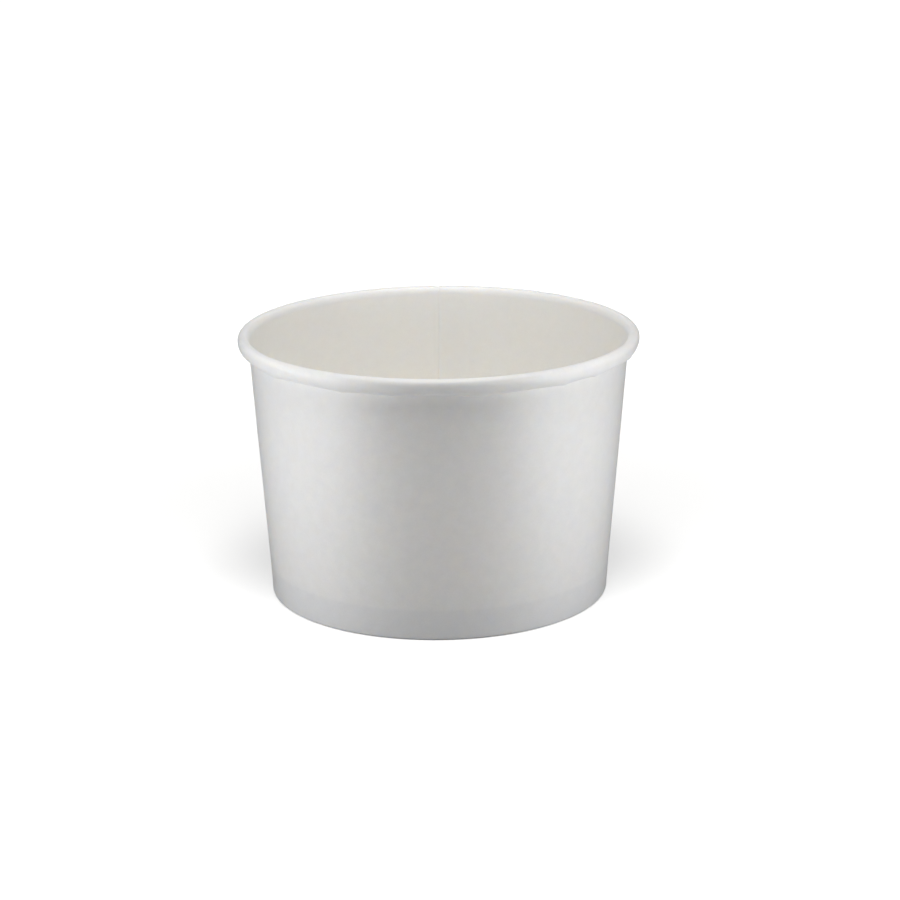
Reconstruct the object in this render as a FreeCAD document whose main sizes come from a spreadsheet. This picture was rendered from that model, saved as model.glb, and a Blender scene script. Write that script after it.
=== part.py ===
import FreeCAD, Part
import math
import os
import Sketcher

# A plain paper dessert cup: a side wall of coated board, and a round board bottom set into its foot.
#
# The side wall is one fan-shaped sheet. It is wrapped once round, it laps over itself at the back, its top
# edge is rolled outwards into a hollow bead, and its lower edge is turned in and up. The bottom is one round
# sheet whose edge is turned down into a skirt. The skirt stands in the turned-up foot of the side wall.
#
# The cup stands on its foot at z = 0 with its axis on Z, and the lap is at +Y. Lengths are millimetres.

# name, value, what it is
SIZES = [
    ("cup_height", 61.34, "foot to the top of the rolled rim"),
    ("rim_radius", 46.0, "outside of the rolled rim"),
    ("bead_width", 2.9, "rolled rim, from the inside of the wall to its own outside"),
    ("bead_height", 3.9, "rolled rim, from its top to its underside"),
    ("bead_gap", 0.08, "between the wall and the end of the roll"),
    ("roll_end", 0.9, "end of the roll, tucked up beside the wall"),
    ("knee_radius", 39.57, "outside of the wall at the top of the foot band"),
    ("knee_height", 7.2, "top of the foot band, where the wall starts to flare"),
    ("foot_radius", 39.15, "outside of the foot"),
    ("fold_hollow", 0.14, "inner radius of the two folds at the foot"),
    ("hem_height", 6.2, "top of the turned-up edge"),
    ("board", 0.36, "thickness of the side wall sheet"),
    ("lap_press", 0.04, "how far the glued plies of the lap are pressed into each other"),
    ("lap_angle", 9.6, "width of the lap, in degrees"),
    ("floor_height", 7.5, "top of the bottom sheet"),
    ("floor_board", 0.3, "thickness of the bottom sheet"),
    ("floor_hollow", 0.5, "inner radius where the bottom sheet turns down"),
    ("glue_gap", 0.05, "glue line on each side of the skirt"),
    ("skirt_lift", 0.15, "from the folds of the foot up to the edge of the skirt"),
]

# Places in the two sections, worked out from the sizes. Each x is a radius and each z is a height.
PLACES = [
    ("lap_step", "sizes.board - sizes.lap_press"),
    ("centre_step", "lap_step / 2"),
    ("fold", "sizes.fold_hollow + sizes.board"),
    ("pocket", "sizes.floor_board + 2 * sizes.glue_gap + lap_step"),
    ("foot_slope", "(sizes.knee_radius - sizes.foot_radius) / (sizes.knee_height - fold)"),
    ("foot_inside", "sizes.foot_radius - sizes.board"),
    ("hem_outside", "foot_inside - pocket"),
    ("hem_inside", "hem_outside - sizes.board"),
    ("hem_lean", "foot_slope * (sizes.hem_height - fold)"),
    ("hem_top_outside", "hem_outside + hem_lean"),
    ("hem_top_inside", "hem_inside + hem_lean"),
    ("outer_fold", "sizes.foot_radius - fold"),
    ("inner_fold", "hem_inside + fold"),
    ("knee_inside", "sizes.knee_radius - sizes.board"),
    ("neck_inside", "sizes.rim_radius - sizes.bead_width"),
    ("neck_outside", "neck_inside + sizes.board"),
    ("neck_height", "sizes.cup_height - sizes.bead_height"),
    ("top_bend", "sizes.bead_width / 2"),
    ("top_height", "sizes.cup_height - top_bend"),
    ("rim_inside", "sizes.rim_radius - sizes.board"),
    ("roll_outside", "neck_outside + sizes.bead_gap"),
    ("roll_inside", "roll_outside + sizes.board"),
    ("low_bend", "(sizes.rim_radius - roll_outside) / 2"),
    ("low_height", "neck_height + low_bend"),
    ("roll_top", "low_height + sizes.roll_end"),
    ("floor_fold", "sizes.floor_hollow + sizes.floor_board"),
    ("floor_underside", "sizes.floor_height - sizes.floor_board"),
    ("turn_height", "sizes.floor_height - floor_fold"),
    ("skirt_foot", "fold + sizes.skirt_lift"),
    ("skirt_foot_outside", "foot_inside + foot_slope * sizes.skirt_lift - sizes.glue_gap"),
    ("skirt_foot_inside", "skirt_foot_outside - sizes.floor_board"),
    ("skirt_top_outside", "skirt_foot_outside + foot_slope * (turn_height - skirt_foot)"),
    ("skirt_top_inside", "skirt_top_outside - sizes.floor_board"),
    ("floor_flat", "skirt_top_outside - floor_fold"),
]

# The side wall's section, as corners (x, z) in order round the sheet: up the outer face, round the hollow
# side of the bead to the end of the roll, back round its outside, down the inner face and up the hem.
WALL_CORNERS = [
    ("foot_radius", "fold"),
    ("knee_radius", "knee_height"),
    ("neck_outside", "neck_height"),
    ("neck_outside", "top_height"),
    ("rim_inside", "top_height"),
    ("rim_inside", "low_height"),
    ("roll_inside", "low_height"),
    ("roll_inside", "roll_top"),
    ("roll_outside", "roll_top"),
    ("roll_outside", "low_height"),
    ("rim_radius", "low_height"),
    ("rim_radius", "top_height"),
    ("neck_inside", "top_height"),
    ("neck_inside", "neck_height"),
    ("knee_inside", "knee_height"),
    ("foot_inside", "fold"),
    ("outer_fold", "board"),
    ("inner_fold", "board"),
    ("hem_outside", "fold"),
    ("hem_top_outside", "hem_height"),
    ("hem_top_inside", "hem_height"),
    ("hem_inside", "fold"),
    ("inner_fold", "ground"),
    ("outer_fold", "ground"),
]

# The round stretches of that section: after which corner, the height of the centre, and which way it turns.
WALL_BENDS = {
    3: ("top_height", "right"),
    5: ("low_height", "right"),
    9: ("low_height", "left"),
    11: ("top_height", "left"),
    15: ("fold", "right"),
    17: ("fold", "right"),
    21: ("fold", "left"),
    23: ("fold", "left"),
}

FLOOR_CORNERS = [
    ("axis", "floor_underside"),
    ("floor_flat", "floor_underside"),
    ("skirt_top_inside", "turn_height"),
    ("skirt_foot_inside", "skirt_foot"),
    ("skirt_foot_outside", "skirt_foot"),
    ("skirt_top_outside", "turn_height"),
    ("floor_flat", "floor_height"),
    ("axis", "floor_height"),
]

FLOOR_BENDS = {
    1: ("turn_height", "right"),
    5: ("turn_height", "left"),
}

HALF_TURN = 180
FULL_TURN = 360
START_POINT, END_POINT, CENTRE_POINT = range(1, 4)
H_AXIS, V_AXIS = range(-1, -3, -1)
ORIGIN = H_AXIS

doc = FreeCAD.newDocument("dessert_cup")


def add_sheet(name, rows):
    """Adds a spreadsheet whose rows are (alias, content, note), and works it out."""
    sheet = doc.addObject("Spreadsheet::Sheet", name)
    for row, (alias, content, note) in enumerate(rows, start=1):
        sheet.set(f"A{row}", alias)
        sheet.set(f"B{row}", content)
        sheet.setAlias(f"B{row}", alias)
        sheet.set(f"C{row}", note)
    doc.recompute()
    return sheet


size_sheet = add_sheet("sizes", [(name, str(value), meaning) for name, value, meaning in SIZES])
place_sheet = add_sheet("places", [(name, f"={formula}", "") for name, formula in PLACES])
size_names = [name for name, value, meaning in SIZES]


def measure(name):
    """The value of a named size or place.  The axis and the ground are at zero."""
    if name in ("axis", "ground"):
        return 0.0
    sheet = size_sheet if name in size_names else place_sheet
    return float(sheet.get(name))


def formula_of(name, steps_out=0):
    """The same name as an expression, moved outwards by a number of centre steps."""
    sheet = size_sheet if name in size_names else place_sheet
    formula = f"{sheet.Name}.{name}"
    return f"{formula} + {steps_out} * {place_sheet.Name}.centre_step" if steps_out else formula


def add_sketch(body, name):
    """Adds a sketch on the body's upright plane through the lap.  Its x runs along +Y and its y along +Z."""
    sketch = body.newObject("Sketcher::SketchObject", name)
    plane = next(feature for feature in body.Origin.OriginFeatures if feature.Role == "YZ_Plane")
    sketch.AttachmentSupport = [(plane, "")]
    sketch.MapMode = "FlatFace"
    return sketch


def bend_between(start, end, centre_height, turn):
    """A round stretch between two points about a centre of known height, equally far from both."""
    rise = centre_height - (start.y + end.y) / 2
    centre_x = (start.x + end.x) / 2 - rise * (end.y - start.y) / (end.x - start.x)
    centre = FreeCAD.Vector(centre_x, centre_height, 0)
    first, last = (start, end) if turn == "left" else (end, start)
    first_angle = math.atan2(first.y - centre.y, first.x - centre.x)
    last_angle = math.atan2(last.y - centre.y, last.x - centre.x)
    if last_angle < first_angle:
        last_angle += 2 * math.pi
    circle = Part.Circle(centre, FreeCAD.Vector(0, 0, 1), start.distanceToPoint(centre))
    return Part.ArcOfCircle(circle, first_angle, last_angle)


def pin(sketch, edge, point, kind, name, steps_out=0):
    """Ties one coordinate of a point to a named place, or to the axis or the ground."""
    if name == "axis":
        sketch.addConstraint(Sketcher.Constraint("PointOnObject", edge, point, V_AXIS))
    elif name == "ground":
        sketch.addConstraint(Sketcher.Constraint("PointOnObject", edge, point, H_AXIS))
    else:
        step = steps_out * measure("centre_step")
        value = measure(name) + step
        number = sketch.addConstraint(
            Sketcher.Constraint(kind, ORIGIN, START_POINT, edge, point, value)
        )
        sketch.setExpression(f"Constraints[{number}]", formula_of(name, steps_out))


def draw_section(sketch, corners, bends, steps_out=0):
    """Draws a closed section through its corners, with each coordinate tied to the sheets."""
    step = steps_out * measure("centre_step")
    points = [FreeCAD.Vector(measure(x) + step, measure(z), 0) for x, z in corners]
    ends = []
    for number, start in enumerate(points):
        end = points[(number + 1) % len(points)]
        if number in bends:
            centre_name, turn = bends[number]
            sketch.addGeometry(bend_between(start, end, measure(centre_name), turn))
            ends.append((START_POINT, END_POINT) if turn == "left" else (END_POINT, START_POINT))
        else:
            sketch.addGeometry(Part.LineSegment(start, end))
            ends.append((START_POINT, END_POINT))
    for number, (x, z) in enumerate(corners):
        before = number - 1 if number else len(corners) - 1
        sketch.addConstraint(
            Sketcher.Constraint("Coincident", before, ends[before][1], number, ends[number][0])
        )
        pin(sketch, number, ends[number][0], "DistanceX", x, steps_out)
        pin(sketch, number, ends[number][0], "DistanceY", z)
    for number, (centre_name, turn) in bends.items():
        pin(sketch, number, CENTRE_POINT, "DistanceY", centre_name)


def revolve(body, name, sketch, angle, clockwise=False):
    """Turns a sketch about its own upright axis.  Clockwise is as seen from above."""
    feature = body.newObject("PartDesign::Revolution", name)
    feature.Profile = sketch
    feature.ReferenceAxis = (sketch, ["V_Axis"])
    feature.Reversed = clockwise
    if isinstance(angle, str):
        feature.Angle = measure(angle)
        feature.setExpression("Angle", f"{size_sheet.Name}.{angle}")
    else:
        feature.Angle = angle
    return feature


def make_side_wall():
    """One sheet wrapped once round: it starts at +Y, runs clockwise, and ends lapped over its own start.

    The first half of the wrap is round the cup's axis. The second half is round an axis half a lap step
    further towards +Y, so the sheet comes back to +Y one lap step outside its start. The outer ply then
    runs on over the start of the sheet, as far as the lap is wide.
    """
    body = doc.addObject("PartDesign::Body", "side_wall")

    first = add_sketch(body, "wrap_start_section")
    draw_section(first, WALL_CORNERS, WALL_BENDS)
    revolve(body, "wrap_start", first, HALF_TURN, clockwise=True)

    second = add_sketch(body, "wrap_return_section")
    second.setExpression("AttachmentOffset.Base.x", f"{place_sheet.Name}.centre_step")
    draw_section(second, WALL_CORNERS, WALL_BENDS, steps_out=1)
    revolve(body, "wrap_return", second, HALF_TURN)

    lap = add_sketch(body, "lap_section")
    draw_section(lap, WALL_CORNERS, WALL_BENDS, steps_out=2)
    revolve(body, "lap", lap, "lap_angle", clockwise=True)
    return body


def make_bottom_disc():
    """A round sheet with its edge turned down, standing in the pocket between the wall and the hem."""
    body = doc.addObject("PartDesign::Body", "bottom_disc")
    section = add_sketch(body, "disc_section")
    draw_section(section, FLOOR_CORNERS, FLOOR_BENDS)
    revolve(body, "disc", section, FULL_TURN)
    return body


pieces = [make_side_wall(), make_bottom_disc()]
doc.recompute()

for item in doc.Objects:
    if "Invalid" in item.State or "Error" in item.State:
        raise RuntimeError(f"{item.Label} could not be worked out: {item.State}")
for piece in pieces:
    if piece.Shape.isNull() or not piece.Shape.isValid():
        raise RuntimeError(f"{piece.Label} has no valid shape")
    if len(piece.Shape.Solids) != 1:
        raise RuntimeError(f"{piece.Label} is not one solid")

os.makedirs("parts", exist_ok=True)
for piece in pieces:
    piece.Shape.exportStep(f"parts/{piece.Label}.step")
    box = piece.Shape.BoundBox
    print(f"{piece.Label}: {box.XLength:.2f} x {box.YLength:.2f} x {box.ZLength:.2f} mm")
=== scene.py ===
import math

import bpy
import numpy as np
from mathutils import Matrix, Vector


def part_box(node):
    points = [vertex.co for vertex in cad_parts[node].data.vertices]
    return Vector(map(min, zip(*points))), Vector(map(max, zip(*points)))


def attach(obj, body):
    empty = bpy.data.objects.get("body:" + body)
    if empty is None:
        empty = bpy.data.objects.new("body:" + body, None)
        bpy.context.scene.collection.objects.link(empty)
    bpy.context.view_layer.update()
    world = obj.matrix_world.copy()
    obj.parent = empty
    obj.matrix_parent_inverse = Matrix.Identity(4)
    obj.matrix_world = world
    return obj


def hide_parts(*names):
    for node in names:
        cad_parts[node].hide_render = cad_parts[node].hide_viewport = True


# Looks for a plain white paper dessert cup: one wrapped sheet of coated board and a board disc in its foot.
# The cup stands on z = 0 with its axis on Z, the lap seam is at +Y and the camera looks along +Y.

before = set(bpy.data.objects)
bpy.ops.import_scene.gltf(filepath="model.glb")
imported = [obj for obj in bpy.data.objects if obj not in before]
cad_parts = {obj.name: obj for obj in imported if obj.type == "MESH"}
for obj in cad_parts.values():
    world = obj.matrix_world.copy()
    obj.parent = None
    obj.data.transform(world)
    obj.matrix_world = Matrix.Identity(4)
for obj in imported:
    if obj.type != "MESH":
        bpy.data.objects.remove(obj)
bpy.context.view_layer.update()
mm = 0.001
sharpAngle = math.radians(40)             # a fold sharper than this is shaded as an edge


# small helpers for profiles, all in the (radius, height) plane

def straightRun(start, end, step):
    # points from start to end, about one step apart, without the last one
    count = max(2, int(math.ceil(math.dist(start, end) / step)) + 1)
    along = np.linspace(0.0, 1.0, count)[:-1, None]
    return np.asarray(start) * (1 - along) + np.asarray(end) * along


def roundBend(centre, radius, fromDeg, toDeg, step, rise=None):
    # centre + (radius * cos a, rise * sin a), with a running from fromDeg to toDeg, without the last point
    rise = radius if rise is None else rise
    length = abs(math.radians(toDeg - fromDeg)) * max(radius, rise)
    count = max(4, int(math.ceil(length / step)) + 1)
    angle = np.radians(np.linspace(fromDeg, toDeg, count))[:-1]
    return np.column_stack([centre[0] + radius * np.cos(angle), centre[1] + rise * np.sin(angle)])


def pathNormals(path):
    # unit normals on the right-hand side of the path, from central differences between its points
    tangent = np.gradient(path, axis=0)
    tangent /= np.linalg.norm(tangent, axis=1, keepdims=True)
    return np.column_stack([tangent[:, 1], -tangent[:, 0]])


def smoothStep(value, low, high):
    # 0 below low, 1 above high, and 3t^2 - 2t^3 between them
    t = np.clip((value - low) / (high - low), 0.0, 1.0)
    return t * t * (3 - 2 * t)


def buildMesh(name, vertices, quads, attributes):
    # one object from flat arrays, with a float attribute for each named array of values per vertex
    mesh = bpy.data.meshes.new(name)
    mesh.vertices.add(len(vertices))
    mesh.vertices.foreach_set("co", vertices.astype(np.float32).ravel())
    mesh.loops.add(quads.size)
    mesh.loops.foreach_set("vertex_index", quads.astype(np.int32).ravel())
    mesh.polygons.add(len(quads))
    mesh.polygons.foreach_set("loop_start", np.arange(0, quads.size, 4, dtype=np.int32))
    mesh.polygons.foreach_set("use_smooth", np.ones(len(quads), dtype=bool))
    mesh.update(calc_edges=True)
    for label, values in attributes.items():
        layer = mesh.attributes.new(label, "FLOAT", "POINT")
        layer.data.foreach_set("value", values.astype(np.float32).ravel())
    mesh.validate()
    mesh.set_sharp_from_angle(angle=sharpAngle)
    piece = bpy.data.objects.new(name, mesh)
    bpy.context.scene.collection.objects.link(piece)
    return piece


# side wall

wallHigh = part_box("side_wall")[1]         # the upper corner of its box
wall = {
    "rimRadius": wallHigh.x,              # outside of the rolled rim
    "cupHeight": wallHigh.z,
    "board": 0.36 * mm,
    "footRadius": 39.15 * mm,             # outside of the foot
    "kneeRadius": 39.57 * mm,             # outside of the wall where it starts to flare
    "kneeHeight": 7.2 * mm,
    "neckRadius": 43.42 * mm,             # outside of the wall, just under the bead
    "beadHeight": 3.95 * mm,
    "flankBend": 2.1 * mm,                # height over which the bead's flank curves in to its lowest point
    "beadGap": 0.06 * mm,                 # between the wall and the end of the roll
    "rollReach": 1.2 * mm,                # above the neck, the height at which that gap is taken
    "rollEnd": 1.0 * mm,                  # the straight end of the roll, tucked up beside the wall
    "shoulder": 2.1 * mm,                 # below the top, inside, where the wall starts to curve out
    "foldRadius": 0.32 * mm,              # of the middle of the board, at the two folds of the foot
    "pocket": 0.40 * mm,                  # room for the disc's skirt between wall and hem
    "hemHeight": 6.3 * mm,
    "lapDegrees": 9.6,                    # the sheet laps over its own start by this much
    "rampDegrees": 2.2,                   # over which it climbs onto its own start
    "cutEdgeAndHighlight": 0.55,                      # degrees of pale pinched board beside the free edge inside, painted lighter still as a highlight
    "hiddenMargin": 0.3,                  # degrees under the lap that keep the outside's colour
    "pressedPly": 0.27 * mm,              # how far the lapped ply lies off the first, pressed and sealed
    "pressedPart": 0.42,                  # of half the board is left on the first ply's outer face there
    "pressedPast": 0.1,                   # degrees past the lap to which that reaches
    "liftFrom": 0.4 * mm,                 # between these heights the first ply, raised under the lapped
    "liftTo": 4.0 * mm,                   # one at the foot, comes back to its own place
    "edgeRings": (0.0, 0.06, 0.14, 0.24, 0.36),     # degrees in from a free edge, which they round
    "edgePart": 0.45,                     # of the board's thickness is left at a free edge itself
    "lean": 0.0055,                       # the rim sits a little to +X of the foot
    # creases of the bead's underside: degrees from the front, how much lower it hangs there in mm,
    # and how much higher it lies halfway to the next crease
    "creases": ((-52.6, 0.00, 0.29), (-27.5, 0.03, 0.24), (-13.1, 0.05, 0.53), (11.8, 0.18, 0.35),
                (37.3, -0.04, 0.22), (49.6, -0.13, 0.21), (71, -0.14, 0.30), (96, 0.1, 0.35),
                (124, 0.0, 0.35), (152, 0.1, 0.40), (183, 0.0, 0.40), (214, 0.1, 0.40),
                (245, 0.0, 0.30), (272, 0.1, 0.35)),
    "creaseDrop": 0.14 * mm,              # how far the bead's underside hangs lower at a crease
    "creaseWidth": 0.9,                   # degrees
    "flatPull": 0.10,                     # part of the chord's depth by which it is further in between two
    "flatsRings": (2, 8),                 # rings after the bead's start, over which the flats set in
    "flatsFrom": 1.0 * mm,                # and the same by depth below the top
    "flatsTo": 4.0 * mm,
    "flatsClear": 0.6 * mm,               # out from the neck, where the pull inwards starts
    "ribs": 108,                          # pressed round the inside of the hem to hold the disc's skirt
    "ribDepth": 0.12 * mm,
    # spacing of the points along the profile, and the number of steps round the axis
    "hemStep": 0.7 * mm,
    "foldStep": 0.1 * mm,
    "wallStep": 2.4 * mm,
    "neckStep": 0.4 * mm,
    "beadStep": 0.26 * mm,
    "stepsRound": 433,
    "rampSteps": 9,
    "lapSteps": 8,
}


def wallProfile(w):
    # Middle of the board in the (radius, height) plane, from the top of the hem down round the foot, up
    # the wall, over the bead and round to the tucked end of the roll. Runs are straight, bends are arcs.
    # It gives the points too, the index where the bead starts and the last index of the hem.
    half = w["board"] / 2
    fold = w["foldRadius"]
    foldHeight = fold + half
    footMid = w["footRadius"] - half
    kneeMid = w["kneeRadius"] - half
    neckMid = w["neckRadius"] - half
    neckHeight = w["cupHeight"] - w["beadHeight"]
    hemMid = footMid - w["board"] - w["pocket"]
    footLean = (kneeMid - footMid) / (w["kneeHeight"] - foldHeight)
    wallLean = (neckMid - kneeMid) / (neckHeight - w["kneeHeight"])
    outerMid = w["rimRadius"] - half

    # over the top, a long soft shoulder inside and a round arc outside, then a long bend under the bead
    shoulderHeight = w["cupHeight"] - half - w["shoulder"]
    shoulderMid = neckMid + wallLean * (shoulderHeight - neckHeight)
    topRadius = (outerMid - shoulderMid) / 2
    topCentre = (outerMid - topRadius, w["cupHeight"] - half - topRadius)
    shoulderCentre = (topCentre[0], shoulderHeight)
    rollMid = w["neckRadius"] + wallLean * w["rollReach"] + w["beadGap"] + half
    lowRadius = (outerMid - rollMid) / 2
    lowCentre = (outerMid - lowRadius, neckHeight + half + lowRadius)
    flankCentre = (lowCentre[0], neckHeight + half + w["flankBend"])

    hemStep, foldStep, beadStep = w["hemStep"], w["foldStep"], w["beadStep"]
    hemTop = (hemMid + footLean * (w["hemHeight"] - foldHeight), w["hemHeight"])
    parts = [
        straightRun(hemTop, (hemMid, foldHeight), hemStep),
        roundBend((hemMid + fold, foldHeight), fold, 180, 270, foldStep),
        straightRun((hemMid + fold, half), (footMid - fold, half), foldStep),
        roundBend((footMid - fold, foldHeight), fold, 270, 360, foldStep),
        straightRun((footMid, foldHeight), (kneeMid, w["kneeHeight"]), hemStep),
        straightRun((kneeMid, w["kneeHeight"]), (neckMid, neckHeight), w["wallStep"]),
        straightRun((neckMid, neckHeight), (shoulderMid, shoulderHeight), w["neckStep"]),
        roundBend(shoulderCentre, topRadius, 180, 90, beadStep, w["shoulder"]),
        roundBend(topCentre, topRadius, 90, 0, beadStep),
        straightRun((outerMid, topCentre[1]), (outerMid, flankCentre[1]), beadStep),
        roundBend(flankCentre, lowRadius, 0, -90, beadStep, w["flankBend"]),
        roundBend(lowCentre, lowRadius, -90, -180, beadStep),
        straightRun((rollMid, lowCentre[1]), (rollMid, lowCentre[1] + w["rollEnd"]), beadStep),
        np.array([(rollMid, lowCentre[1] + w["rollEnd"])]),
    ]
    path = np.vstack(parts)
    beadStart = sum(len(part) for part in parts[:7])
    return path, beadStart, len(parts[0]) - 1


def flatsBetweenCreases(azimuth, creases, creaseDrop, creaseWidth):
    # How far a chord from each crease to the next lies inside the circle, as a part of the radius:
    # (1 - cos(half angle)) * 4t(1 - t), with t the way from one crease to the next. It has a corner at
    # each crease. The second result is how much lower the underside hangs: straight lines from each
    # crease's hang to the next, less rise * 4t(1 - t) between them, and more beside a crease by
    # drop * exp(-(distance / width)^2).
    table = np.array(creases)
    marks, hangs, rises = np.radians(table[:, 0]), table[:, 1] * mm, table[:, 2] * mm
    marks = np.concatenate([marks, marks[:1] + 2 * math.pi])
    hangs = np.concatenate([hangs, hangs[:1]])
    place = (azimuth - marks[0]) % (2 * math.pi) + marks[0]
    step = np.clip(np.searchsorted(marks, place, side="right") - 1, 0, len(marks) - 2)
    width = marks[step + 1] - marks[step]
    t = (place - marks[step]) / width
    nearest = np.minimum(t, 1 - t) * width
    between = 4 * t * (1 - t)
    hang = hangs[step] * (1 - t) + hangs[step + 1] * t - rises[step] * between
    hang = hang + creaseDrop * np.exp(-(nearest / math.radians(creaseWidth)) ** 2)
    return (1 - np.cos(width / 2)) * between, hang


def makeSideWall(w):
    # The profile is carried clockwise round the axis, from the sheet's inner free edge at +Y, once round
    # and on over the lap. Each point is profile + normal * (ply + thickness), turned by the wrap angle.
    path, beadStart, hemEnd = wallProfile(w)
    normal = pathNormals(path)
    count = len(path)
    half = w["board"] / 2

    # once round the board's own thickness: out along one face and back along the other
    across = np.concatenate([np.full(count, half), np.full(count, -half)])
    along = np.concatenate([np.arange(count), np.arange(count)[::-1]])
    total = 360.0 + w["lapDegrees"]
    rampStart, rampEnd = 360.0 - w["rampDegrees"], 360.0
    edge = np.array(w["edgeRings"])
    turn = np.concatenate([
        edge,
        np.linspace(edge[-1], rampStart, w["stepsRound"])[1:-1],
        np.linspace(rampStart, rampEnd, w["rampSteps"])[:-1],
        np.linspace(rampEnd, total - edge[-1], w["lapSteps"])[:-1],
        total - edge[::-1],
    ])
    # thickness near a free edge: sqrt(1 - (1 - distance / edge width)^2), from the edge's part up to 1
    fromEdge = np.clip(np.minimum(turn, total - turn) / edge[-1], 0, 1)
    thickness = w["edgePart"] + (1 - w["edgePart"]) * np.sqrt(1 - (1 - fromEdge) ** 2)
    # the first ply is pressed thinner under the lap, on its outer face, and the lapped ply lies on it
    pressedEnd = w["lapDegrees"] + w["pressedPast"]
    underLap = 1 - smoothStep(turn, pressedEnd, w["lapDegrees"] + w["rampDegrees"])
    pressed = thickness * (1 - (1 - w["pressedPart"]) * underLap)
    faceScale = np.where(across[None, :] > 0, pressed[:, None], thickness[:, None])
    ply = w["pressedPly"] * smoothStep(turn, rampStart, rampEnd)[:, None]
    azimuth = np.radians(turn)[:, None]                    # clockwise from +Y

    board = across[None, :] * faceScale
    radius = path[along, 0][None, :] + normal[along, 0][None, :] * (board + ply)
    # at the foot the lapped ply stays on the table, so the first ply is raised there instead
    lift = np.where(path[along, 1] < w["kneeHeight"], np.maximum(normal[along, 1], 0.0), normal[along, 1])
    height = path[along, 1][None, :] + normal[along, 1][None, :] * board + lift[None, :] * ply
    raised = 1 - smoothStep(height, w["liftFrom"], w["liftTo"])
    height = height + w["pressedPly"] * underLap[:, None] * raised

    # ribs pressed into the free face of the hem: (1 + cos(ribs * azimuth)) / 2, deepest halfway up
    onHem = (along <= hemEnd) * np.sin(np.pi * np.clip(along / hemEnd, 0, 1)) ** 0.5
    radius = radius + w["ribDepth"] * 0.5 * (1 + np.cos(azimuth * w["ribs"])) * onHem[None, :]

    # the bead's underside is flattened between the creases that the roll leaves
    fromFront = math.pi - azimuth                          # 0 at -Y and growing towards +X
    chords, hang = flatsBetweenCreases(fromFront[:, 0], w["creases"], w["creaseDrop"], w["creaseWidth"])
    flats = w["rimRadius"] * chords[:, None]
    first, last = w["flatsRings"]
    beadPart = smoothStep(along.astype(float), beadStart + first, beadStart + last)[None, :]
    lowPart = smoothStep(w["cupHeight"] - height, w["flatsFrom"], w["flatsTo"]) * beadPart
    height = height - hang[:, None] * lowPart
    outPart = smoothStep(radius, w["neckRadius"] + w["flatsClear"], w["rimRadius"])
    radius = radius - w["flatPull"] * flats * lowPart * outPart

    x = radius * np.sin(azimuth) + w["lean"] * height
    y = radius * np.cos(azimuth)
    points = np.stack([x, y, height], axis=-1)

    rows, columns = points.shape[:2]
    index = np.arange(rows * columns).reshape(rows, columns)
    looped = np.hstack([index, index[:, :1]])
    corners = [looped[:-1, :-1], looped[:-1, 1:], looped[1:, 1:], looped[1:, :-1]]
    quads = np.stack(corners, axis=-1).reshape(-1, 4)
    # the two free edges of the sheet: a strip of faces between the two faces of the board
    there, back = np.arange(count - 1), 2 * count - 1 - np.arange(count - 1)
    for row, flip in ((index[0], False), (index[-1], True)):
        cap = np.column_stack([row[there], row[back], row[back - 1], row[there + 1]])
        quads = np.vstack([quads, cap[:, ::-1] if flip else cap])

    # the hidden outer face of the first ply, under the lap, is as pale as the inside
    underPly = turn < w["lapDegrees"] - w["hiddenMargin"]
    inside = (across < 0)[None, :] | underPly[:, None]
    sheetHeight = np.broadcast_to(path[along, 1][None, :], (rows, columns))
    # how far below the rim on the inside, in mm, and 0 from the top of the bead onwards
    top = int(np.argmax(path[:, 1]))
    rimDepth = np.where(along < top, (w["cupHeight"] - path[along, 1]) / mm, 0.0)
    lapped = np.broadcast_to(((turn < w["lapDegrees"]) | (turn > rampEnd))[:, None], (rows, columns))
    # the strip of pale board and painted highlight along the free edge inside
    cutEdgeAndHighlight = np.broadcast_to((turn < w["cutEdgeAndHighlight"])[:, None], (rows, columns))
    attributes = {
        "insideFace": inside.astype(float),
        "rimDepth": np.broadcast_to(rimDepth[None, :], (rows, columns)),
        "lapBand": lapped.astype(float),
        "cutEdgeAndHighlight": cutEdgeAndHighlight.astype(float),
        "sheetHeight": sheetHeight / w["cupHeight"],
    }
    return buildMesh("wrapped_wall", points.reshape(-1, 3), quads, attributes)


wrappedWall = makeSideWall(wall)
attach(wrappedWall, "root")
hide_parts("side_wall")
print("side wall:", len(wrappedWall.data.polygons), "faces")


# bottom disc

discLow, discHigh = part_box("bottom_disc")
disc = {
    "floorHeight": discHigh.z,
    "edgeRadius": discHigh.x,             # outside of the skirt at its widest
    "skirtFoot": discLow.z,
    "board": 0.30 * mm,
    "bendRadius": 0.40 * mm,              # of the middle of the board
    "skirtLean": 0.0627,                  # the skirt leans out with the wall it is sealed to
    "skirtClear": 0.02 * mm,              # the skirt is drawn this much inside its widest
    "sag": 0.25 * mm,                     # the floor hangs this much lower at its middle
    "hubRadius": 0.4 * mm,                # of the small ring of points round the axis
    "floorStep": 1.5 * mm,                # spacing of the points along the profile
    "bendStep": 0.12 * mm,
    "skirtStep": 0.8 * mm,
    "stepsRound": 180,
}


def discProfile(d):
    # Middle of the board from near the axis out to the bend, round it and down the skirt to its free edge.
    # The floor is lower in the middle by sag * (1 - (radius / flat radius)^2)^2.
    half = d["board"] / 2
    bend = d["bendRadius"]
    midHeight = d["floorHeight"] - half
    turnHeight = midHeight - bend
    edgeMid = d["edgeRadius"] - half - d["skirtClear"]
    footMid = edgeMid - d["skirtLean"] * (turnHeight - d["skirtFoot"])
    flat = edgeMid - bend
    flatRun = straightRun((d["hubRadius"], midHeight), (flat, midHeight), d["floorStep"])
    flatRun[:, 1] -= d["sag"] * (1 - (flatRun[:, 0] / flat) ** 2) ** 2
    return np.vstack([
        flatRun,
        roundBend((flat, turnHeight), bend, 90, 0, d["bendStep"]),
        straightRun((edgeMid, turnHeight), (footMid, d["skirtFoot"]), d["skirtStep"]),
        np.array([(footMid, d["skirtFoot"])]),
    ])


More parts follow.
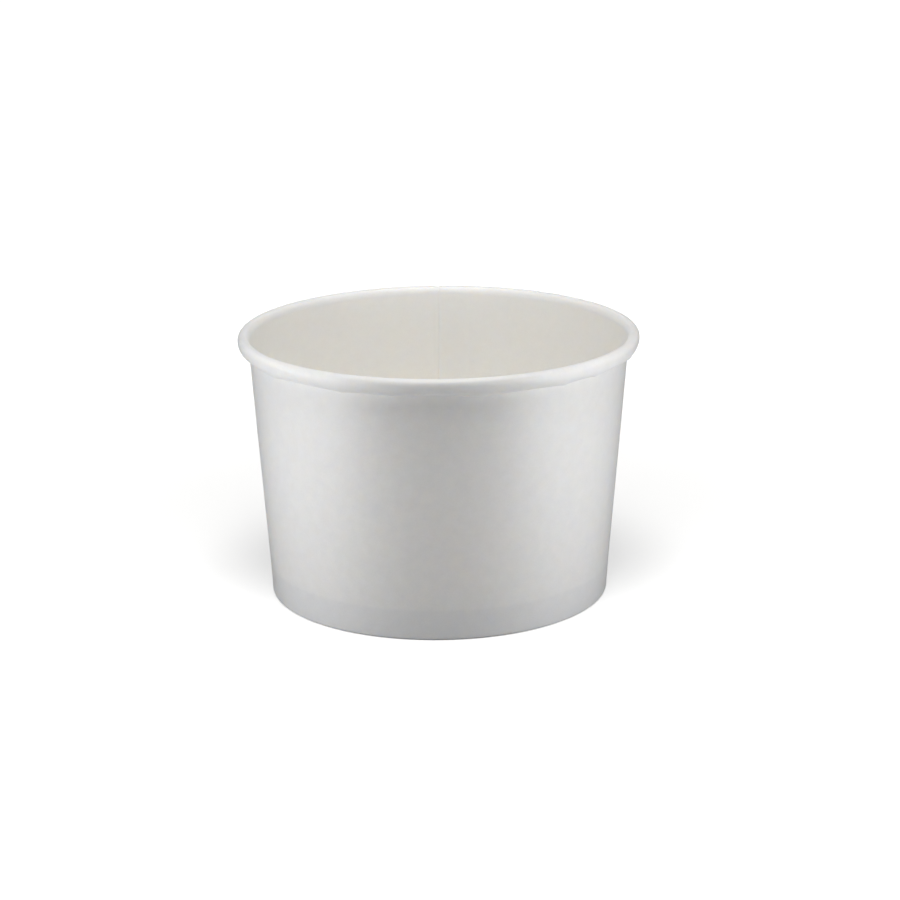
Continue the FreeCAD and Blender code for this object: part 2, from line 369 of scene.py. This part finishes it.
def makeBottomDisc(d):
    # The closed section, out along the top face and back along the underside, is turned once round the
    # axis: (r sin a, r cos a, height). Each face is closed at the axis by quads across a small ring.
    path = discProfile(d)
    normal = pathNormals(path)
    half = d["board"] / 2
    top, under = path - normal * half, path + normal * half
    loop = np.vstack([top, under[::-1]])
    azimuth = np.linspace(0, 2 * math.pi, d["stepsRound"], endpoint=False)[:, None]
    points = np.stack([
        loop[None, :, 0] * np.sin(azimuth),
        loop[None, :, 0] * np.cos(azimuth),
        np.broadcast_to(loop[None, :, 1], (len(azimuth), len(loop))),
    ], axis=-1)
    rows, columns = points.shape[:2]
    index = np.arange(rows * columns).reshape(rows, columns)
    ringed = np.vstack([index, index[:1]])
    corners = [ringed[:-1, :-1], ringed[1:, :-1], ringed[1:, 1:], ringed[:-1, 1:]]
    quads = np.stack(corners, axis=-1).reshape(-1, 4)
    # across the small ring, each quad joins two neighbours to the two mirrored about one diameter
    for column, flip in ((index[:, 0], True), (index[:, -1], False)):
        here = np.arange(rows // 2 - 1)
        there = rows - 1 - here
        cap = np.column_stack([column[here], column[here + 1], column[there - 1], column[there]])
        quads = np.vstack([quads, cap[:, ::-1] if flip else cap])
    inside = np.concatenate([np.ones(len(path)), np.zeros(len(path))])
    attributes = {"insideFace": np.tile(inside, (rows, 1))}
    return buildMesh("cup_bottom", points.reshape(-1, 3), quads, attributes)


cupBottom = makeBottomDisc(disc)
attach(cupBottom, "root")
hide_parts("bottom_disc")
print("bottom disc:", len(cupBottom.data.polygons), "faces")


# paper finish, shared by both boards

paperGrain = {
    "cloudDetail": 3.0,
    "fibreDetail": 5.0,
    "fibreTwist": 1.2,
    "fibreShare": 0.55,                       # of the fine fibres, the rest is the soft clouds
}


def addSocket(group, name, direction, kind, value=None):
    socket = group.interface.new_socket(name=name, in_out=direction, socket_type=kind)
    if value is not None:
        socket.default_value = value


def makePaperGroup(grain):
    # Fibre clouds: two sizes of noise, one soft and one fine, shade the colour by
    # 1 + change * (noise - 0.5), and the same noise changes the roughness and gives the height.
    group = bpy.data.node_groups.new("paperFibres", "ShaderNodeTree")
    addSocket(group, "Place", "INPUT", "NodeSocketVector")
    addSocket(group, "Paper Colour", "INPUT", "NodeSocketColor", (0.85, 0.85, 0.85, 1))
    addSocket(group, "Cloud Scale", "INPUT", "NodeSocketFloat", 500.0)
    addSocket(group, "Fibre Scale", "INPUT", "NodeSocketFloat", 2400.0)
    addSocket(group, "Tone Change", "INPUT", "NodeSocketFloat", 0.04)
    addSocket(group, "Roughness", "INPUT", "NodeSocketFloat", 0.5)
    addSocket(group, "Roughness Change", "INPUT", "NodeSocketFloat", 0.1)
    addSocket(group, "Colour", "OUTPUT", "NodeSocketColor")
    addSocket(group, "Roughness", "OUTPUT", "NodeSocketFloat")
    addSocket(group, "Height", "OUTPUT", "NodeSocketFloat")
    nodes, links = group.nodes, group.links
    start, end = nodes.new("NodeGroupInput"), nodes.new("NodeGroupOutput")
    cloud, fibre = nodes.new("ShaderNodeTexNoise"), nodes.new("ShaderNodeTexNoise")
    cloud.inputs["Detail"].default_value = grain["cloudDetail"]
    fibre.inputs["Detail"].default_value = grain["fibreDetail"]
    fibre.inputs["Distortion"].default_value = grain["fibreTwist"]
    for noise, scale in ((cloud, "Cloud Scale"), (fibre, "Fibre Scale")):
        links.new(start.outputs["Place"], noise.inputs["Vector"])
        links.new(start.outputs[scale], noise.inputs["Scale"])
    both = nodes.new("ShaderNodeMix")
    both.data_type = "FLOAT"
    both.inputs["Factor"].default_value = grain["fibreShare"]
    links.new(cloud.outputs["Fac"], both.inputs["A"])
    links.new(fibre.outputs["Fac"], both.inputs["B"])
    centred = nodes.new("ShaderNodeMath")
    centred.operation = "SUBTRACT"
    centred.inputs[1].default_value = 0.5
    links.new(both.outputs["Result"], centred.inputs[0])
    tone = nodes.new("ShaderNodeMath")
    tone.operation = "MULTIPLY_ADD"
    tone.inputs[2].default_value = 1.0
    links.new(centred.outputs[0], tone.inputs[0])
    links.new(start.outputs["Tone Change"], tone.inputs[1])
    shaded = nodes.new("ShaderNodeVectorMath")
    shaded.operation = "SCALE"
    links.new(start.outputs["Paper Colour"], shaded.inputs[0])
    links.new(tone.outputs[0], shaded.inputs["Scale"])
    links.new(shaded.outputs["Vector"], end.inputs["Colour"])
    rough = nodes.new("ShaderNodeMath")
    rough.operation = "MULTIPLY_ADD"
    links.new(centred.outputs[0], rough.inputs[0])
    links.new(start.outputs["Roughness Change"], rough.inputs[1])
    links.new(start.outputs["Roughness"], rough.inputs[2])
    links.new(rough.outputs[0], end.inputs["Roughness"])
    links.new(both.outputs["Result"], end.inputs["Height"])
    return group


paperGroup = makePaperGroup(paperGrain)

boardFinish = {
    "outside": (0.857, 0.859, 0.861, 1),
    "footBandShade": (0.825, 0.829, 0.837, 1),     # painted shade: three plies deep there, so less light shines through
    # painted light: cream, and lighter than the outside to stand in for the light that fills the cup
    "inside": (0.972, 0.949, 0.903, 1),
    "bead": (0.925, 0.923, 0.917, 1),
    "lapInside": (0.992, 0.968, 0.907, 1),    # a little yellower where two plies lie on each other
    "paleEdgeAndHighlight": (0.995, 0.980, 0.940, 1),   # the pale cut edge, with a painted highlight where its rounded edge catches the light
    "whiteTo": 1.4,                           # mm below the rim, inside, to which the board is bare white
    "creamFrom": 2.4,                         # mm below the rim, from where it is cream
    "wander": 0.9,                            # mm by which the line between them wanders
    "wanderScale": 70.0,
    "wanderDetail": 1.0,
    "bandTop": 7.1 * mm,                      # of the foot band's painted shade
    "bandBlur": 0.5 * mm,
    "cloudScale": 420.0,
    "fibreScale": 3000.0,
    "toneChange": 0.17,
    "roughness": 0.45,
    "roughnessChange": 0.1,
    "relief": 0.02 * mm,
    "bumpStrength": 0.7,
    "ior": 1.45,
    "gloss": 0.6,
    "throughBoard": 0.22 * mm,                # how far light travels in the board
    "throughRadius": (1.0, 0.92, 0.80),       # of red, green and blue, as parts of that
}


def readAttribute(nodes, name):
    # a value that the mesh carries at each point
    node = nodes.new("ShaderNodeAttribute")
    node.attribute_name = name
    return node.outputs["Fac"]


def blendColours(material, factor, first, second):
    # first where the factor is 0, second where it is 1
    mix = material.node_tree.nodes.new("ShaderNodeMix")
    mix.data_type = "RGBA"
    wanted = {"Factor": factor, "A": first, "B": second}
    for name, value in wanted.items():
        socket = mix.inputs[name]
        if isinstance(value, bpy.types.NodeSocket):
            material.node_tree.links.new(value, socket)
        else:
            socket.default_value = value
    return mix.outputs["Result"]


def finishPaper(material, colour, finish):
    # the shared fibres over a colour, into a satin board surface
    nodes, links = material.node_tree.nodes, material.node_tree.links
    nodes.remove(nodes["Principled BSDF"])
    shader = nodes.new("ShaderNodeBsdfPrincipled")
    links.new(shader.outputs["BSDF"], nodes["Material Output"].inputs["Surface"])
    place = nodes.new("ShaderNodeTexCoord")
    fibres = nodes.new("ShaderNodeGroup")
    fibres.node_tree = paperGroup
    fibres.inputs["Cloud Scale"].default_value = finish["cloudScale"]
    fibres.inputs["Fibre Scale"].default_value = finish["fibreScale"]
    fibres.inputs["Tone Change"].default_value = finish["toneChange"]
    fibres.inputs["Roughness"].default_value = finish["roughness"]
    fibres.inputs["Roughness Change"].default_value = finish["roughnessChange"]
    links.new(place.outputs["Object"], fibres.inputs["Place"])
    links.new(colour, fibres.inputs["Paper Colour"])
    bump = nodes.new("ShaderNodeBump")
    bump.inputs["Strength"].default_value = finish["bumpStrength"]
    bump.inputs["Distance"].default_value = finish["relief"]
    links.new(fibres.outputs["Height"], bump.inputs["Height"])
    links.new(fibres.outputs["Colour"], shader.inputs["Base Color"])
    links.new(fibres.outputs["Roughness"], shader.inputs["Roughness"])
    links.new(bump.outputs["Normal"], shader.inputs["Normal"])
    shader.inputs["IOR"].default_value = finish["ior"]
    shader.inputs["Specular IOR Level"].default_value = finish["gloss"]
    shader.subsurface_method = "RANDOM_WALK"
    shader.inputs["Subsurface Weight"].default_value = 1.0
    shader.inputs["Subsurface Scale"].default_value = finish["throughBoard"]
    shader.inputs["Subsurface Radius"].default_value = finish["throughRadius"]


def makeWallMaterial(finish, w):
    # colour by height for the painted shade of the foot band, by face for inside and outside, with the
    # inside painted lighter, the lap and its cut edge with its painted highlight inside, and bare white
    # board round the rim
    material = bpy.data.materials.new("wrappedBoard")
    material.use_nodes = True
    nodes, links = material.node_tree.nodes, material.node_tree.links
    height = readAttribute(nodes, "sheetHeight")
    band = nodes.new("ShaderNodeMapRange")
    band.interpolation_type = "SMOOTHSTEP"
    band.inputs["From Min"].default_value = (finish["bandTop"] - finish["bandBlur"]) / w["cupHeight"]
    band.inputs["From Max"].default_value = (finish["bandTop"] + finish["bandBlur"]) / w["cupHeight"]
    links.new(height, band.inputs["Value"])
    # painted shade: the darker, cooler foot band stands in for the light that does not shine through its
    # three plies
    outside = blendColours(material, band.outputs["Result"], finish["footBandShade"], finish["outside"])
    # inside: cream board with painted light, yellower on the lap
    sheet = blendColours(material, readAttribute(nodes, "lapBand"), finish["inside"], finish["lapInside"])
    # painted highlight: the pale strip along the cut edge inside
    inside = blendColours(material, readAttribute(nodes, "cutEdgeAndHighlight"), sheet, finish["paleEdgeAndHighlight"])
    faces = blendColours(material, readAttribute(nodes, "insideFace"), outside, inside)
    # depth below the rim + wander * noise, so the white board ends in a slightly wavy line
    place = nodes.new("ShaderNodeTexCoord")
    wander = nodes.new("ShaderNodeTexNoise")
    wander.inputs["Scale"].default_value = finish["wanderScale"]
    wander.inputs["Detail"].default_value = finish["wanderDetail"]
    links.new(place.outputs["Object"], wander.inputs["Vector"])
    depth = nodes.new("ShaderNodeMath")
    depth.operation = "MULTIPLY_ADD"
    depth.inputs[1].default_value = finish["wander"]
    links.new(wander.outputs["Fac"], depth.inputs[0])
    links.new(readAttribute(nodes, "rimDepth"), depth.inputs[2])
    below = nodes.new("ShaderNodeMapRange")
    below.interpolation_type = "SMOOTHSTEP"
    below.inputs["From Min"].default_value = finish["whiteTo"] + finish["wander"] / 2
    below.inputs["From Max"].default_value = finish["creamFrom"] + finish["wander"] / 2
    links.new(depth.outputs[0], below.inputs["Value"])
    colour = blendColours(material, below.outputs["Result"], finish["bead"], faces)
    finishPaper(material, colour, finish)
    return material


def makeDiscMaterial(finish):
    # the same board, cream on top with the inside's painted light, and white below
    material = bpy.data.materials.new("bottomBoard")
    material.use_nodes = True
    face = readAttribute(material.node_tree.nodes, "insideFace")
    finishPaper(material, blendColours(material, face, finish["outside"], finish["inside"]), finish)
    return material


wrappedWall.data.materials.append(makeWallMaterial(boardFinish, wall))
cupBottom.data.materials.append(makeDiscMaterial(boardFinish))
print("materials:", [material.name for material in bpy.data.materials])


# studio: floor, background, lamps

studio = {
    "floorSize": 8.0,
    "floorColour": (0.25, 0.25, 0.25, 1),     # for the light that it throws back on the cup
    "floorSeen": (0.85, 0.85, 0.85, 1),       # as the camera sees it
    "floorRoughness": 0.9,
    "floorGloss": 0.1,
    "glowNear": 0.40,                         # seen by the camera only, so that the floor is white
    "glowFar": 1.0,
    "glowFrom": 0.06,                         # metres from the axis, where the glow starts to rise
    "glowTo": 0.30,
    "worldColour": (1.0, 1.0, 1.0, 1),
    "worldLevel": 0.0,                        # no light from the world on the cup, only behind it
    "lampAim": (0.0, 0.0, 30 * mm),           # the point that every lamp faces
    # name, azimuth from the front towards +X, elevation, distance, width, power, colour
    "lamps": [
        ("leftNearBox", -62.0, 8.0, 0.16, 0.08, 0.060, (0.99, 0.995, 1.0)),
        ("rightNearBox", 62.0, 8.0, 0.16, 0.08, 0.060, (0.99, 0.995, 1.0)),
        ("leftFrontBox", -48.0, 6.0, 0.115, 0.05, 0.0235, (0.99, 0.995, 1.0)),
        ("rightFrontBox", 48.0, 6.0, 0.115, 0.05, 0.0225, (0.99, 0.995, 1.0)),
        ("frontBox", 0.0, 14.0, 0.9, 0.3, 0.085, (1.0, 0.88, 0.68)),
        ("overFrontBox", 0.0, 70.0, 0.9, 0.4, 2.70, (1.0, 0.985, 0.955)),
        ("overBox", 0.0, 90.0, 0.9, 0.5, 2.80, (1.0, 1.0, 1.0)),
        ("mouthBox", 0.0, 90.0, 0.09, 0.05, 0.018, (1.0, 1.0, 1.0)),
    ],
}


def makeFloor(values):
    # one square on z = 0, which keeps the cup's shadow and is white further out
    half = values["floorSize"] / 2
    mesh = bpy.data.meshes.new("floor")
    corners = [(-half, -half, 0), (half, -half, 0), (half, half, 0), (-half, half, 0)]
    mesh.from_pydata(corners, [], [(0, 1, 2, 3)])
    floor = bpy.data.objects.new("floor", mesh)
    bpy.context.scene.collection.objects.link(floor)
    material = bpy.data.materials.new("paleFloor")
    material.use_nodes = True
    nodes, links = material.node_tree.nodes, material.node_tree.links
    shader = nodes["Principled BSDF"]
    shader.inputs["Roughness"].default_value = values["floorRoughness"]
    shader.inputs["Specular IOR Level"].default_value = values["floorGloss"]
    path = nodes.new("ShaderNodeLightPath")
    seen = path.outputs["Is Camera Ray"]
    colour = blendColours(material, seen, values["floorColour"], values["floorSeen"])
    links.new(colour, shader.inputs["Base Color"])
    # further from the cup the lamps give the floor less light, so its glow rises there
    place = nodes.new("ShaderNodeTexCoord")
    distance = nodes.new("ShaderNodeVectorMath")
    distance.operation = "LENGTH"
    links.new(place.outputs["Object"], distance.inputs[0])
    level = nodes.new("ShaderNodeMapRange")
    level.interpolation_type = "SMOOTHSTEP"
    level.inputs["From Min"].default_value = values["glowFrom"]
    level.inputs["From Max"].default_value = values["glowTo"]
    level.inputs["To Min"].default_value = values["glowNear"]
    level.inputs["To Max"].default_value = values["glowFar"]
    links.new(distance.outputs["Value"], level.inputs["Value"])
    glow = nodes.new("ShaderNodeMath")
    glow.operation = "MULTIPLY"
    links.new(level.outputs["Result"], glow.inputs[1])
    links.new(seen, glow.inputs[0])
    shader.inputs["Emission Color"].default_value = (1, 1, 1, 1)
    links.new(glow.outputs[0], shader.inputs["Emission Strength"])
    mesh.materials.append(material)


def makeWorld(values):
    # white where the camera looks, and worldLevel for everything else
    world = bpy.data.worlds.new("studioWorld")
    world.use_nodes = True
    bpy.context.scene.world = world
    nodes, links = world.node_tree.nodes, world.node_tree.links
    background = nodes["Background"]
    background.inputs["Color"].default_value = values["worldColour"]
    path = nodes.new("ShaderNodeLightPath")
    level = nodes.new("ShaderNodeMapRange")
    level.inputs["To Min"].default_value = values["worldLevel"]
    level.inputs["To Max"].default_value = 1.0
    links.new(path.outputs["Is Camera Ray"], level.inputs["Value"])
    links.new(level.outputs["Result"], background.inputs["Strength"])


def makeLamps(values):
    # each at aim + distance * (sin az cos el, -cos az cos el, sin el), facing the aim
    for name, azimuth, elevation, distance, width, power, colour in values["lamps"]:
        turn, rise = math.radians(azimuth), math.radians(elevation)
        out = Vector((math.sin(turn) * math.cos(rise), -math.cos(turn) * math.cos(rise), math.sin(rise)))
        light = bpy.data.lights.new(name, "AREA")
        light.shape = "SQUARE"
        light.size = width
        light.energy = power
        light.color = colour
        lamp = bpy.data.objects.new(name, light)
        lamp.visible_camera = False
        lamp.location = Vector(values["lampAim"]) + out * distance
        lamp.rotation_euler = (-out).to_track_quat("-Z", "Y").to_euler()
        bpy.context.scene.collection.objects.link(lamp)


makeFloor(studio)
makeWorld(studio)
makeLamps(studio)
print("studio: floor, world and", len(studio["lamps"]), "lamps")


# camera, as the photograph was taken

view = {
    "aim": (2.70 * mm, 0.0, 32.45 * mm),      # the point that the picture's middle shows
    "distance": 616.4 * mm,
    "elevationDeg": 16.42,
    "rollDeg": -0.54,
    "lens": 106.2,                            # mm, as the sensor's width
    "sensor": 36.0,
}


def makeCamera(v):
    # at aim - ahead * distance, with its right and up turned by the roll: cos and sin of both
    rise, roll = math.radians(v["elevationDeg"]), math.radians(v["rollDeg"])
    ahead = Vector((0.0, math.cos(rise), -math.sin(rise)))
    right, up = Vector((1.0, 0.0, 0.0)), Vector((0.0, math.sin(rise), math.cos(rise)))
    rolledRight = right * math.cos(roll) + up * math.sin(roll)
    rolledUp = up * math.cos(roll) - right * math.sin(roll)
    data = bpy.data.cameras.new("photoCamera")
    data.sensor_width = v["sensor"]
    data.lens = v["lens"]
    camera = bpy.data.objects.new("photoCamera", data)
    turn = Matrix((rolledRight, rolledUp, -ahead)).transposed()
    camera.matrix_world = Matrix.Translation(Vector(v["aim"]) - ahead * v["distance"]) @ turn.to_4x4()
    bpy.context.scene.collection.objects.link(camera)
    bpy.context.scene.camera = camera


makeCamera(view)
bpy.context.scene.view_settings.view_transform = "Standard"
